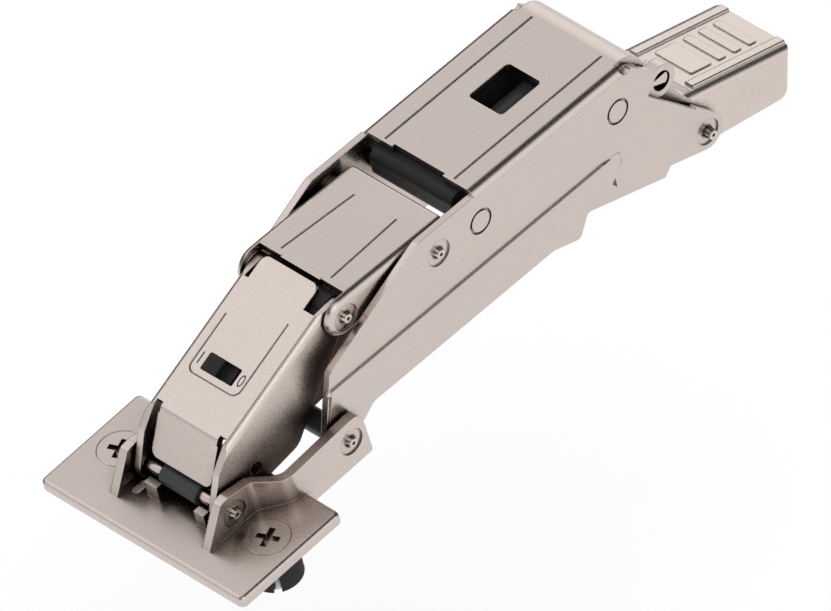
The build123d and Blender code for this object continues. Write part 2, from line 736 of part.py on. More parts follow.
def front_link():
    """Front channel with its switch window, folded apron and rounded side walls."""
    top = front_web_top
    side = [lobe((0, 0), front_eye_radius), (*front_wall_low, 3.5), (*front_wall_mid, 6.0),
            lobe(knee_in_front, front_eye_radius), (front_web_rear, top), (front_web_front, top),
            (*front_wall_nose, 2.5)]
    link = slab(side, -front_half, front_half)
    link = fillet(along_x_edges(link, front_half, top), front_bend_radius)
    inner = front_half - front_sheet
    link -= block(-30, 70, -inner, inner, -30, top - front_sheet)
    link -= block(-30, front_web_front, -inner, inner, -30, top + 1)
    link -= block(front_web_rear, 70, -inner, inner, -30, top + 1)
    tongue = Pos(0, sum(front_tongue) / 2, top - front_sheet) * extrude(
        Pos((front_web_rear + front_tongue_end) / 2 - 1, 0) * RectangleRounded(
            front_tongue_end - front_web_rear + 2, front_tongue[1] - front_tongue[0], 1.6), front_sheet)
    link += tongue
    link += front_apron()
    relief_y, relief_x = apron_relief
    for side in (-1, 1):
        low, high = sorted((side * relief_y, side * inner))
        link -= block(front_web_front - 1, front_web_front + relief_x, low, high, top - 4, top + 1)
    link -= panel_outline()
    # Switch window, service hole and the two pivots
    link -= Pos(sum(switch_span) / 2, sum(switch_window) / 2, top - front_sheet - 1) * extrude(
        RectangleRounded(switch_span[1] - switch_span[0], switch_window[1] - switch_window[0], 0.35),
        front_sheet + 2)
    link -= rod(service_hole, service_hole_radius, -30, 0)
    link -= rod((0, 0), pin_radius + front_pin_play, -30, 30)
    return link - rod(knee_in_front, pin_radius + pin_play, -30, 30)


def link_insert():
    """Moulded carrier under the front link's web that guides the switch."""
    top = front_web_top - front_sheet
    low, high = insert_span
    body = block(low, high, -insert_half, insert_half, top - insert_sheet - carriage_sheet - 0.2, top)
    body -= block(carriage_span[0] - switch_play, carriage_span[1] + switch_play,
                  carriage_half[0] - switch_travel - 0.4, carriage_half[1] + 0.2,
                  top - carriage_sheet - 0.1, top + 1)
    collar = block(knee_in_front[0] - 2.2, high, -insert_half, insert_half, knee_rise - 2.1, top)
    body += collar
    body -= rod(knee_in_front, pin_radius + pin_play, -30, 30)
    return body


def switch_slider():
    """Slide switch: knob in the window, carriage under the web."""
    top = front_web_top - front_sheet
    carriage = block(*carriage_span, *carriage_half, top - carriage_sheet, top - 0.03)
    knob_high = switch_window[1] - switch_play
    knob_top = front_web_top + knob_proud
    front = switch_span[0] + switch_play
    rear = switch_span[1] - switch_play
    knob = slab([(front, top - carriage_sheet), (rear, top - carriage_sheet), (rear, knob_top, 0.3),
                 (front, knob_top, 0.3)], knob_high - knob_length, knob_high)
    return carriage + knob


def door_plate():
    """Door plate with folded ears for the front pin and joggled brackets for the lower pin."""
    face = Pos((plate_front + plate_rear) / 2, 0) * RectangleRounded(
        plate_rear - plate_front, 2 * plate_half, plate_corner)
    plate = extrude(face, -plate_sheet)
    upper = plate.edges().filter_by(lambda e: abs(e.center().Z) < 0.01)
    plate = fillet(upper, plate_edge_round)
    # Ear and bracket on each side: one strip with an outward joggle, cut to its side outline
    lower = lower_pivot_in_plate
    wide = joggle_radius + ear_sheet
    strip = [(ear_foot_front - 2, -ear_half), (joggle_start, -ear_half, joggle_radius),
             (joggle_end, -bracket_half, wide), (bracket_rear + 2, -bracket_half),
             (bracket_rear + 2, -bracket_half + ear_sheet), (joggle_end + 0.6, -bracket_half + ear_sheet, joggle_radius),
             (joggle_start + 0.6, -ear_half + ear_sheet, wide), (ear_foot_front - 2, -ear_half + ear_sheet)]
    ribbon = Pos(0, 0, -10) * extrude(outline(strip), 30)
    side = slab([(ear_foot_front, -plate_sheet), (joggle_end - 2.6, -plate_sheet),
                 (joggle_end + 4.6, bracket_bottom, 3.0), (bracket_rear, bracket_bottom, 0.6),
                 (bracket_rear - 0.3, lower[1] + 1.6, 1.0), (lower[0] + 2.9, bracket_top, 1.4),
                 (lower[0] + 1.0, bracket_top + 0.3, 1.5),
                 (joggle_end - 1.0, bracket_top - 0.6, 3.0), (joggle_start + 0.4, ear_shoulder, 2.5),
                 (ear_top_front + 1.0, ear_top, 1.2), (ear_top_front - 1.2, ear_top - 0.3, 1.0)],
                -bracket_half, -ear_half + ear_sheet)
    wing = ribbon & side
    for shape in both_sides(wing):
        plate += shape
    for low, high in tab_spans:
        plate += block(tab_front, tab_front + tab_sheet, low, high, -plate_sheet, tab_top)
    notch = extrude(SlotOverall(*notch_size), plate_sheet + 2)
    plate -= Pos(notch_at[0], notch_at[1], -plate_sheet - 1) * notch
    for side in (-1, 1):
        spot = Pos(0, side * screw_spacing / 2, 0)
        plate -= spot * Pos(0, 0, -screw_head_height / 2) * Cylinder(
            screw_head_radius + screw_head_play, screw_head_height)
        plate -= spot * Cylinder(screw_shank_radius + 0.3, 10)
    for centre, face_at in ((front_pivot_in_plate, ear_half), (lower, bracket_half)):
        plate = dimpled(plate, centre, face_at, pin_radius)
    return plate


def fixing_screws():
    """Two countersunk screws, each with a cross recess."""
    screws = []
    for side in (-1, 1):
        head = Pos(0, 0, -screw_head_height / 2) * Cylinder(screw_head_radius, screw_head_height)
        shank = Pos(0, 0, -screw_length / 2) * Cylinder(screw_shank_radius, screw_length)
        screw = head + shank
        for turn in (0, 90):
            screw -= Rot(0, 0, turn + 20) * Box(2 * recess_reach, recess_width, 2 * recess_depth)
        screws.append(Pos(0, side * screw_spacing / 2, 0) * screw)
    return screws


def expanding_dowels():
    """Two barbed sleeves below the plate, slotted so that the screw's cone can spread them."""
    low = -plate_sheet - dowel_length
    collar_high = -plate_sheet - dowel_neck
    collar_low = collar_high - dowel_collar
    root = dowel_radius - dowel_barb
    pitch = (collar_low - low) / (dowel_barbs + 0.6)
    profile = [(core_radius, -plate_sheet), (root, -plate_sheet), (root, collar_high), (dowel_radius, collar_high),
               (dowel_radius, collar_low)]
    for index in range(dowel_barbs):
        z = collar_low - index * pitch
        profile.append((root, z - 0.2 * pitch))
        profile.append((dowel_radius - dowel_barb_relief, z - 0.9 * pitch))
    profile += [(root - 0.6, low), (core_radius, low)]
    sleeve = revolve(Plane.XZ * make_face(Polyline(*profile, close=True).edges()), Axis.Z)
    sleeve -= Pos(0, 0, low + 2.2) * Rot(0, 0, dowel_slot_turn) * Box(30, dowel_slot, 5.4)
    return [Pos(0, side * screw_spacing / 2, 0) * sleeve for side in (-1, 1)]


def dowel_cores():
    """Two zinc cores, threaded for the screws, that spread the sleeves."""
    core = Pos(0, 0, -plate_sheet - dowel_length + core_length / 2) * Cylinder(core_radius, core_length)
    core -= Cylinder(screw_shank_radius, 60)
    return [Pos(0, side * screw_spacing / 2, 0) * core for side in (-1, 1)]


def closing_spring():
    """Torsion spring on the rear pivot pin, inside the arm."""
    width = closing_wire * coil_pitch * closing_turns
    spring = coil(closing_spring_radius, closing_wire, closing_turns, -width / 2)
    return Pos(rear_pivot[0], 0, rear_pivot[1]) * spring


def clip_spring():
    """Light torsion spring on the clip lever's pin."""
    width = clip_wire * coil_pitch * clip_turns
    spring = coil(clip_spring_radius, clip_wire, clip_turns, -width / 2)
    return Pos(clip_pivot[0], 0, clip_pivot[1]) * spring


def save(name, shapes):
    """One STEP file for each node; a list is a group of separate solids."""
    solids = shapes if isinstance(shapes, list) else [shapes]
    found = []
    for shape in solids:
        found += list(shape.solids())
    whole = found[0] if len(found) == 1 else Compound(children=found)
    whole.label = name
    export_step(whole, f"parts/{name}.step")


def in_outer(shape):
    """From the outer link's frame to the hinge's."""
    return placed(shape, rear_pivot, outer_tilt)


def in_plate(shape):
    """From the door plate's frame to the hinge's."""
    return placed(shape, plate_origin, plate_tilt)


def main():
    os.makedirs("parts", exist_ok=True)
    save("hinge_arm", hinge_arm())
    save("clip_lever", clip_lever())
    save("clip_pin", rod(clip_pivot, pin_radius, -arm_half, arm_half))
    save("clip_spring", clip_spring())
    save("closing_spring", closing_spring())
    save("control_pin", control_pin())

    save("outer_link", in_outer(outer_link()))
    save("rear_pivot_pin", in_outer(pivot_pin((0, 0), tail_half, rear_tip_proud)))
    save("rear_washers", [in_outer(w) for w in washers(
        (0, 0), arm_half + washer_gap, tail_half - outer_sheet - washer_gap, pin_radius + pin_play)])
    save("middle_pivot_pin", in_outer(pivot_pin(middle_pivot_in_outer, outer_half)))
    save("middle_washers", [in_outer(w) for w in washers(
        middle_pivot_in_outer, middle_half + washer_gap, outer_half - outer_sheet - washer_gap,
        pin_radius + pin_play)])
    save("front_cross_pin", in_outer(cross_pin(front_cross)))
    save("rear_cross_pin", in_outer(cross_pin(rear_cross)))
    save("damper_housing", in_outer(damper_housing()))
    save("damper_barrel", in_outer(damper_barrel()))

    save("middle_link", placed(middle_link(), middle_pivot, middle_tilt))
    save("knee_pin", placed(pivot_pin(knee_in_middle, middle_half), middle_pivot, middle_tilt))
    save("knee_washers", [placed(w, middle_pivot, middle_tilt) for w in washers(
        knee_in_middle, front_half + washer_gap, middle_half - middle_sheet - washer_gap,
        pin_radius + pin_play)])
    stub_end = -strap_inner_y + strap_sheet + stub_proud
    save("inner_link_pin", placed(rod(control_in_middle, pin_radius, -middle_half, stub_end),
                                  middle_pivot, middle_tilt))
    save("inner_link", inner_link())

    save("front_link", placed(front_link(), front_pivot, front_tilt))
    save("link_insert", placed(link_insert(), front_pivot, front_tilt))
    save("switch_slider", placed(switch_slider(), front_pivot, front_tilt))

    save("door_plate", in_plate(door_plate()))
    save("front_pivot_pin", in_plate(pivot_pin(front_pivot_in_plate, ear_half)))
    save("lower_pivot_pin", in_plate(pivot_pin(lower_pivot_in_plate, bracket_half)))
    save("pin_sleeve", in_plate(rod(front_pivot_in_plate, sleeve_radius, -sleeve_half, sleeve_half)
                                - rod(front_pivot_in_plate, pin_radius, -sleeve_half - 1, sleeve_half + 1)))
    save("lower_washers", [in_plate(w) for w in washers(
        lower_pivot_in_plate, outer_half + bead_proud, bracket_half - ear_sheet - washer_gap, pin_radius)])
    roller_half = outer_half - outer_sheet - roller_gap
    save("lower_roller", in_plate(rod(lower_pivot_in_plate, roller_radius, -roller_half, roller_half)
                                  - rod(lower_pivot_in_plate, pin_radius + pin_play, -30, 30)))
    save("fixing_screws", [in_plate(s) for s in fixing_screws()])
    save("expanding_dowels", [in_plate(d) for d in expanding_dowels()])
    save("dowel_cores", [in_plate(c) for c in dowel_cores()])


main()
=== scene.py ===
from math import cos, radians, sin

import bpy
import numpy as np
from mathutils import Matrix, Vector


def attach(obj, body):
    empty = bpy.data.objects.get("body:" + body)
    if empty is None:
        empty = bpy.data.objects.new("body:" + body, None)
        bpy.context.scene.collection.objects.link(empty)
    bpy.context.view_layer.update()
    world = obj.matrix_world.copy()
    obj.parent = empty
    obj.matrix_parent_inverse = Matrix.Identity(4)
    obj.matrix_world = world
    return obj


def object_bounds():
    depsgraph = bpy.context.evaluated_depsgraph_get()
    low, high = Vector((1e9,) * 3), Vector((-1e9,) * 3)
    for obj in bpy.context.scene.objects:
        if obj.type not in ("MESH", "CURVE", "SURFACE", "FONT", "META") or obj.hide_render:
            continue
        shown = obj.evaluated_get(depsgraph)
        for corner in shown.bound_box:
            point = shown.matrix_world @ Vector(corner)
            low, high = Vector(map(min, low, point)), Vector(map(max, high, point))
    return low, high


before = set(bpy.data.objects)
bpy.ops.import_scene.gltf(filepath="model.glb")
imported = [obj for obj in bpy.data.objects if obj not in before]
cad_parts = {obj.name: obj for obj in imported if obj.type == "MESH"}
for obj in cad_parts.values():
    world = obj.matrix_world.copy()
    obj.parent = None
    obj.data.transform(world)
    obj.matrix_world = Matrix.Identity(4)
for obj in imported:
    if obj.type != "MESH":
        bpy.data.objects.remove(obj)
cad_low, cad_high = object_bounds()

# A concealed cabinet hinge in satin nickel plate, with black moulded pieces and zinc dowel cores.
# Sizes of pieces are millimetres and the rest metres. X runs along the arm into the cabinet, Y along the
# pivots to the far side, Z up.
MM = 0.001

# Camera: a long lens that comes close to the photograph's isometric view (target and distance in millimetres)
VIEW_TARGET = (-76.393, -6.618, -1.14)
VIEW_AZIMUTH = -44.804
VIEW_ELEVATION = 35.66
VIEW_DISTANCE = 4572.256
LENS = 1100.0
SENSOR = 36.0
CLIP_NEAR = 0.1
CLIP_FAR = 100.0

# Studio: what the metal reflects. Each pair is where a border starts and ends, as part of a unit direction
STUDIO = 0.98
FLOOR_LIGHT = 1.03
CEILING_FOOT = (0.05, 0.35)
CEILING_NEAR = (-0.60, -0.44)
CEILING_FAR = (0.26, 0.42)
CEILING_DARKNESS = 0.97
FAR_WALL = (0.62, 0.72)
FAR_WALL_TOP = (0.46, 0.34)
FAR_WALL_FOOT = (-0.30, -0.16)
FAR_WALL_DARKNESS = 0.94
NEAR_WALL = (-0.58, -0.72)
NEAR_WALL_FOOT = (-0.05, 0.1)
NEAR_WALL_GLOW = 0.2

# Two glows: direction, cosines at which the glow starts and is full, and strength
ARM_GLOW = ((0.65, 0.58, 0.49), 0.90, 0.985, 0.42)
FRONT_GLOW = ((-0.37, 0.58, 0.72), 0.86, 0.985, 0.30)

# Key lamp
KEY_PLACE = (-0.55, -0.45, 0.80)
KEY_TARGET = (-0.07, 0.0, 0.0)
KEY_SIZE = 0.9
KEY_POWER = 2.0

# Floor: half width, how far past the far side it ends, how far below the hinge it lies, and its finish
FLOOR_HALF = 3.0
FLOOR_FAR = 0.10
FLOOR_DROP = 0.09
FLOOR_COLOUR = (0.93, 0.93, 0.93)
FLOOR_ROUGHNESS = 0.9
FLOOR_SPECULAR = 0.1

# Colours, as linear values
WHITE = (1.0, 1.0, 1.0)
NICKEL = (0.560, 0.490, 0.450)
NICKEL_LIGHT = (0.640, 0.562, 0.518)
SPRINKLE = (0.72, 0.63, 0.575)
# Painted shade: the near-black colour that crevices and contacts are darkened towards
CREVICE_SHADE = (0.085, 0.066, 0.054)
PIN_STEEL = (0.60, 0.525, 0.475)
BLACK = (0.008, 0.008, 0.009)
BLACK_LIGHT = (0.022, 0.022, 0.024)
GREY_PLASTIC = (0.030, 0.031, 0.033)
GREY_LIGHT = (0.06, 0.062, 0.066)
ZINC = (0.62, 0.66, 0.67)
ZINC_LIGHT = (0.8, 0.82, 0.83)
SPRING = (0.20, 0.19, 0.185)
SPRING_LIGHT = (0.3, 0.29, 0.28)
STROKE = (0.10, 0.085, 0.075)
STROKE_LIGHT = (0.16, 0.14, 0.125)

# Grain and edges: noise levels that give masks, and the rim's turn as a cosine
GRAIN_DETAIL = 2.0
GRAIN_LEVELS = (0.35, 0.65)
CLOUD_DETAIL = 3.0
CLOUD_LEVELS = (0.3, 0.7)
EDGE_SAMPLES = 6
RIM_LEVELS = (0.995, 0.85)
CONTACT_SAMPLES = 10
CONTACT_SPREAD = 0.10

# Plated metal: how far a face looks along the pivots where it is a side wall, and the share of each effect
SIDE_LEVELS = (0.3, 0.9)
SPECKLE_GAIN = 5
CLOUD_SHARE = 0.10
CLOUD_SHADE = 0.80
RIM_WEAR_AND_HIGHLIGHT = 0.45
METAL_SMOOTHER = 0.03
METAL_ROUGHER = 0.05
RIM_POLISH = 0.12
METAL_BUMP_HEIGHT = 0.00004

# Moulded plastic
PLASTIC_GRAIN = 6000.0
PLASTIC_EDGE = 0.0002
PLASTIC_SPECKLE = 0.25
PLASTIC_RIM_WEAR_AND_HIGHLIGHT = 0.30
PLASTIC_SPECULAR = 0.3
PLASTIC_SMOOTHER = 0.05
PLASTIC_ROUGHER = 0.06
PLASTIC_BUMP = 0.12
PLASTIC_BUMP_HEIGHT = 0.00003

# Front link's own frame: where its front pivot lies and how far it is tilted, then its web and switch window
FRONT_PIVOT = (-128.0364, -17.7357)
FRONT_TILT = 36.2775
FRONT_WEB_TOP = 9.85
WINDOW_MIDDLE = 19.8
WINDOW_ENDS = (-2.95, 5.0)

# Marks I and 0 beside the switch: strokes on the web, sunk a little and almost flush
MARK_GAP = 1.2
MARK_LENGTH = 2.5
MARK_STROKE = 0.3
MARK_SUNK = 0.05
MARK_PROUD = 0.012
ZERO_WIDTH = 1.2
ZERO_SIDE_SHARE = 0.8
ZERO_POINTS = 48

# Rear part of the front link's walls, which runs on behind the outer link's front edge
WALL_OUTER = 10.28
WALL_INNER = 8.82
WALL_REAR = ((22.4, -4.0), (23.9, -4.2), (27.6, -5.4), (31.2, -3.4), (40.4, -2.4), (41.9, 1.0), (41.0, 3.4),
             (38.0, 3.4), (36.0, 5.5), (28.0, 4.0))

# Moulded collar of the insert, round the knee
KNEE_IN_FRONT = (39.92, 6.05)
COLLAR_OUTER = 2.95
COLLAR_BORE = 1.55
COLLAR_HALF = 8.7
COLLAR_POINTS = 48

# Outer link's own frame: where its rear pivot lies, how far it is tilted and half its width
REAR_PIVOT = (-7.0, 5.3)
OUTER_TILT = 12.6
OUTER_HALF = 14.35

# Small arrow on the outer link's near wall
ARROW = ((-27.6, 11.2), (-24.9, 12.3), (-24.6, 7.4))
ARROW_SUNK = 0.1
ARROW_PROUD = 0.01

# Pressed ledge along each wall of the outer link: a slanted top, then a face that runs back into the wall.
# The section is (share of the ledge's depth, height), and the rear end shrinks by the two end shares
LEDGE_SPAN = (-97.8, -22.4)
LEDGE_TAPER = 4.5
LEDGE_FRONT_SLANT = 0.27
LEDGE_HEIGHT = 14.25
LEDGE_PROUD = 0.50
LEDGE_SECTION = ((0.0, 0.95), (1.0, 0.60), (1.0, 0.20), (-0.04, -7.4), (-0.6, -7.4), (-0.6, 0.95))
LEDGE_END_DEPTH = 1 / 12
LEDGE_END_HEIGHT = 0.3


def rgba(colour):
    return (*colour, 1.0)


# Shader nodes

def put(tree, value, socket):
    """Link a socket's value to another socket, or set it where it is a number or a colour."""
    if hasattr(value, "links"):
        tree.links.new(value, socket)
    elif isinstance(value, (int, float)):
        socket.default_value = value
    else:
        socket.default_value = rgba(value)


def remap(tree, value, low, high, to_low, to_high):
    """Straight-line change of a value's range, clamped."""
    node = tree.nodes.new("ShaderNodeMapRange")
    tree.links.new(value, node.inputs["Value"])
    for label, number in (("From Min", low), ("From Max", high), ("To Min", to_low), ("To Max", to_high)):
        put(tree, number, node.inputs[label])
    return node.outputs["Result"]


def smooth(tree, value, low, high, to_low, to_high):
    """Eased change of a value's range, clamped."""
    result = remap(tree, value, low, high, to_low, to_high)
    result.node.interpolation_type = "SMOOTHSTEP"
    return result


def maths(tree, operation, first, second):
    """Sum, product and the like of two values."""
    node = tree.nodes.new("ShaderNodeMath")
    node.operation = operation
    put(tree, first, node.inputs[0])
    put(tree, second, node.inputs[1])
    return node.outputs["Value"]


def mix_colour(tree, factor, first, second):
    """Mix of two colours, all first at 0 and all second at 1."""
    node = tree.nodes.new("ShaderNodeMix")
    node.data_type = "RGBA"
    put(tree, factor, node.inputs["Factor"])
    put(tree, first, node.inputs["A"])
    put(tree, second, node.inputs["B"])
    return node.outputs["Result"]


def along(tree, first, second):
    """Dot product of two directions, the second a socket or three numbers."""
    node = tree.nodes.new("ShaderNodeVectorMath")
    node.operation = "DOT_PRODUCT"
    tree.links.new(first, node.inputs[0])
    if hasattr(second, "links"):
        tree.links.new(second, node.inputs[1])
    else:
        node.inputs[1].default_value = second
    return node.outputs["Value"]


def split(tree, vector):
    """Sockets for the X, Y and Z parts of a vector."""
    node = tree.nodes.new("ShaderNodeSeparateXYZ")
    tree.links.new(vector, node.inputs["Vector"])
    return node.outputs["X"], node.outputs["Y"], node.outputs["Z"]


def bumped(tree, shader, height, strength, distance, normal):
    """Bump of the given height on top of the edge's soft normal, into the shader."""
    node = tree.nodes.new("ShaderNodeBump")
    put(tree, strength, node.inputs["Strength"])
    node.inputs["Distance"].default_value = distance
    tree.links.new(height, node.inputs["Height"])
    tree.links.new(normal, node.inputs["Normal"])
    tree.links.new(node.outputs["Normal"], shader.inputs["Normal"])


# Shader groups that the materials share

def new_group(name, inputs, outputs):
    """Empty shader group with named sockets: each input is (name, kind, value)."""
    group = bpy.data.node_groups.new(name, "ShaderNodeTree")
    for label, kind, value in inputs:
        socket = group.interface.new_socket(label, in_out="INPUT", socket_type=kind)
        socket.default_value = value
    for label, kind in outputs:
        group.interface.new_socket(label, in_out="OUTPUT", socket_type=kind)
    return group, group.nodes.new("NodeGroupInput"), group.nodes.new("NodeGroupOutput")


def group_noise(group, place, scale, detail):
    """Noise texture in object space, with so many features for each metre."""
    node = group.nodes.new("ShaderNodeTexNoise")
    node.inputs["Detail"].default_value = detail
    group.links.new(place, node.inputs["Vector"])
    group.links.new(scale, node.inputs["Scale"])
    return node.outputs["Fac"]


def build_grain():
    """Group: fine plated grain. Gives a speckle mask, a broad cloud mask and a bump height."""
    group, source, sink = new_group(
        "plated_grain",
        [("Grain Scale", "NodeSocketFloat", 9000.0), ("Cloud Scale", "NodeSocketFloat", 60.0)],
        [("Speckle", "NodeSocketFloat"), ("Cloud", "NodeSocketFloat"), ("Height", "NodeSocketFloat")])
    place = group.nodes.new("ShaderNodeTexCoord").outputs["Object"]
    fine = group_noise(group, place, source.outputs["Grain Scale"], GRAIN_DETAIL)
    cloud = group_noise(group, place, source.outputs["Cloud Scale"], CLOUD_DETAIL)
    group.links.new(remap(group, fine, *GRAIN_LEVELS, 0.0, 1.0), sink.inputs["Speckle"])
    group.links.new(remap(group, cloud, *CLOUD_LEVELS, 0.0, 1.0), sink.inputs["Cloud"])
    group.links.new(fine, sink.inputs["Height"])
    return group


def build_edge():
    """Group: soft rounding of sharp edges and a mask of the edge's rim, for lighter rims that are partly
    handling wear and partly painted edge highlight.
    """
    group, source, sink = new_group(
        "soft_edge", [("Radius", "NodeSocketFloat", 0.00015)],
        [("Normal", "NodeSocketVector"), ("Rim", "NodeSocketFloat")])
    bevel = group.nodes.new("ShaderNodeBevel")
    bevel.samples = EDGE_SAMPLES
    group.links.new(source.outputs["Radius"], bevel.inputs["Radius"])
    plain = group.nodes.new("ShaderNodeNewGeometry").outputs["Normal"]
    turned = along(group, bevel.outputs["Normal"], plain)
    group.links.new(bevel.outputs["Normal"], sink.inputs["Normal"])
    group.links.new(remap(group, turned, *RIM_LEVELS, 0.0, 1.0), sink.inputs["Rim"])
    return group


def build_contact():
    """Group: how open a point is, from 0 in a crevice to 1 in the open, with a grainy border."""
    group, source, sink = new_group(
        "contact_shade",
        [("Distance", "NodeSocketFloat", 0.016), ("Speckle", "NodeSocketFloat", 0.5),
         ("Dark At", "NodeSocketFloat", 0.22), ("Light At", "NodeSocketFloat", 0.80)],
        [("Open", "NodeSocketFloat")])
    near = group.nodes.new("ShaderNodeAmbientOcclusion")
    near.samples = CONTACT_SAMPLES
    group.links.new(source.outputs["Distance"], near.inputs["Distance"])
    centred = maths(group, "SUBTRACT", source.outputs["Speckle"], 0.5)
    spread = maths(group, "MULTIPLY", centred, CONTACT_SPREAD)
    grainy = maths(group, "ADD", near.outputs["AO"], spread)
    openness = smooth(group, grainy, source.outputs["Dark At"], source.outputs["Light At"], 0.0, 1.0)
    group.links.new(openness, sink.inputs["Open"])
    return group


grain_group = build_grain()
edge_group = build_edge()
contact_group = build_contact()


# Materials

def new_material(name):
    material = bpy.data.materials.new(name)
    material.use_nodes = True
    tree = material.node_tree
    return material, tree, tree.nodes["Principled BSDF"]


def add_group(tree, group, **values):
    """A group placed in a material, with its inputs set by name."""
    node = tree.nodes.new("ShaderNodeGroup")
    node.node_tree = group
    for label, value in values.items():
        node.inputs[label.replace("_", " ")].default_value = value
    return node


def sheet_metal(name, colour, light, rough=0.25, speckle=0.10, top_share=0.3, bump=0.12, edge=0.00026,
                grain=4600.0, reach=0.016, dark_at=0.22, light_at=0.80):
    """Plated sheet: fine speckle and faint clouds, and painted shade that darkens the colour in crevices,
    with a roughness that follows them.

    The speckle is strongest on side walls and has top_share of its strength on other faces. Crevices get
    painted
    shade, judged within reach: it is full where the point is as open as dark_at and gone where it is as open
    as light_at.
    """
    material, tree, shader = new_material(name)
    shader.inputs["Metallic"].default_value = 1.0
    grained = add_group(tree, grain_group, Grain_Scale=grain)
    edged = add_group(tree, edge_group, Radius=edge)
    contact = add_group(tree, contact_group, Distance=reach, Dark_At=dark_at, Light_At=light_at)
    grains, rim = grained.outputs["Speckle"], edged.outputs["Rim"]
    tree.links.new(grains, contact.inputs["Speckle"])
    # Colour
    facing = split(tree, tree.nodes.new("ShaderNodeNewGeometry").outputs["Normal"])[1]
    sideways = remap(tree, maths(tree, "ABSOLUTE", facing, 0.0), *SIDE_LEVELS, top_share, 1.0)
    strength = maths(tree, "MULTIPLY", sideways, speckle * SPECKLE_GAIN)
    spotted = mix_colour(tree, maths(tree, "MULTIPLY", grains, strength), colour, light)
    clouds = maths(tree, "MULTIPLY", grained.outputs["Cloud"], CLOUD_SHARE)
    clouded = mix_colour(tree, clouds, spotted, tuple(part * CLOUD_SHADE for part in colour))
    # Lighter rims: partly wear, partly a painted highlight along the edges
    worn_and_lit = mix_colour(tree, maths(tree, "MULTIPLY", rim, RIM_WEAR_AND_HIGHLIGHT), clouded, light)
    # Painted shade: the colour is darkened towards the crevice shade where the point is closed in
    tree.links.new(mix_colour(tree, contact.outputs["Open"], CREVICE_SHADE, worn_and_lit), shader.inputs["Base Color"])
    # Roughness and grain
    wide = remap(tree, grains, 0.0, 1.0, rough - METAL_SMOOTHER, rough + METAL_ROUGHER)
    polished = maths(tree, "SUBTRACT", wide, maths(tree, "MULTIPLY", rim, RIM_POLISH))
    tree.links.new(polished, shader.inputs["Roughness"])
    bumped(tree, shader, grained.outputs["Height"], maths(tree, "MULTIPLY", sideways, bump),
           METAL_BUMP_HEIGHT, edged.outputs["Normal"])
    return material


def moulded(name, colour, light, rough=0.5):
    """Moulded plastic: fine leather-like grain and slightly paler rims, partly wear and partly painted edge
    highlight.
    """
    material, tree, shader = new_material(name)
    grained = add_group(tree, grain_group, Grain_Scale=PLASTIC_GRAIN)
    edged = add_group(tree, edge_group, Radius=PLASTIC_EDGE)
    grains = maths(tree, "MULTIPLY", grained.outputs["Speckle"], PLASTIC_SPECKLE)
    # Paler rims: partly wear, partly a painted highlight along the edges
    rims = maths(tree, "MULTIPLY", edged.outputs["Rim"], PLASTIC_RIM_WEAR_AND_HIGHLIGHT)
    worn_and_lit = mix_colour(tree, rims, mix_colour(tree, grains, colour, light), light)
    tree.links.new(worn_and_lit, shader.inputs["Base Color"])
    shader.inputs["Specular IOR Level"].default_value = PLASTIC_SPECULAR
    cloudy = remap(tree, grained.outputs["Cloud"], 0.0, 1.0, rough - PLASTIC_SMOOTHER,
                   rough + PLASTIC_ROUGHER)
    tree.links.new(cloudy, shader.inputs["Roughness"])
    bumped(tree, shader, grained.outputs["Height"], PLASTIC_BUMP, PLASTIC_BUMP_HEIGHT,
           edged.outputs["Normal"])
    return material


nickel = sheet_metal("satin_nickel", NICKEL, NICKEL_LIGHT)
arm_nickel = sheet_metal("sprinkled_arm_nickel", NICKEL, SPRINKLE, rough=0.3, speckle=0.16, top_share=1.0,
                         bump=0.22, reach=0.010)
# The front link's painted shade reaches far and starts early, darkening its walls widely where the outer link
# and plate close them in
front_nickel = sheet_metal("sprinkled_front_nickel", NICKEL, SPRINKLE, rough=0.3, speckle=0.16,
                           top_share=1.0, bump=0.22, reach=0.036, dark_at=0.40, light_at=0.96)
plate_nickel = sheet_metal("plate_nickel", NICKEL, NICKEL_LIGHT, reach=0.020, dark_at=0.30, light_at=0.90)
pin_metal = sheet_metal("turned_pin", PIN_STEEL, NICKEL_LIGHT, rough=0.2, speckle=0.05, bump=0.03,
                        edge=0.00012)
black_plastic = moulded("black_moulding", BLACK, BLACK_LIGHT)
grey_plastic = moulded("grey_moulding", GREY_PLASTIC, GREY_LIGHT, rough=0.38)
zinc = sheet_metal("die_cast_zinc", ZINC, ZINC_LIGHT, rough=0.33)
spring_wire = sheet_metal("spring_wire", SPRING, SPRING_LIGHT, rough=0.35, speckle=0.05)
mark_finish = sheet_metal("dark_stroke", STROKE, STROKE_LIGHT, rough=0.5, speckle=0.1)

FINISH = {
    "hinge_arm": arm_nickel, "clip_lever": nickel, "clip_pin": pin_metal, "clip_spring": spring_wire,
    "closing_spring": spring_wire, "control_pin": pin_metal, "outer_link": nickel,
    "rear_pivot_pin": pin_metal, "rear_washers": pin_metal, "middle_pivot_pin": pin_metal,
    "middle_washers": pin_metal, "front_cross_pin": nickel, "rear_cross_pin": nickel,
    "damper_housing": black_plastic, "damper_barrel": grey_plastic, "middle_link": nickel,
    "knee_pin": pin_metal, "knee_washers": pin_metal, "inner_link_pin": pin_metal, "inner_link": nickel,
    "front_link": front_nickel, "link_insert": black_plastic, "switch_slider": black_plastic,
    "door_plate": plate_nickel, "front_pivot_pin": pin_metal, "lower_pivot_pin": pin_metal,
    "pin_sleeve": grey_plastic, "lower_washers": pin_metal, "lower_roller": grey_plastic,
    "fixing_screws": nickel, "expanding_dowels": black_plastic, "dowel_cores": zinc,
}


def dress_nodes():
    """Give each solid of the hinge its finish."""
    for node_name, finish in FINISH.items():
        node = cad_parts[node_name]
        node.data.materials.clear()
        node.data.materials.append(finish)


# Surfaces: each is a grid of points, one row for each section and as many points in each

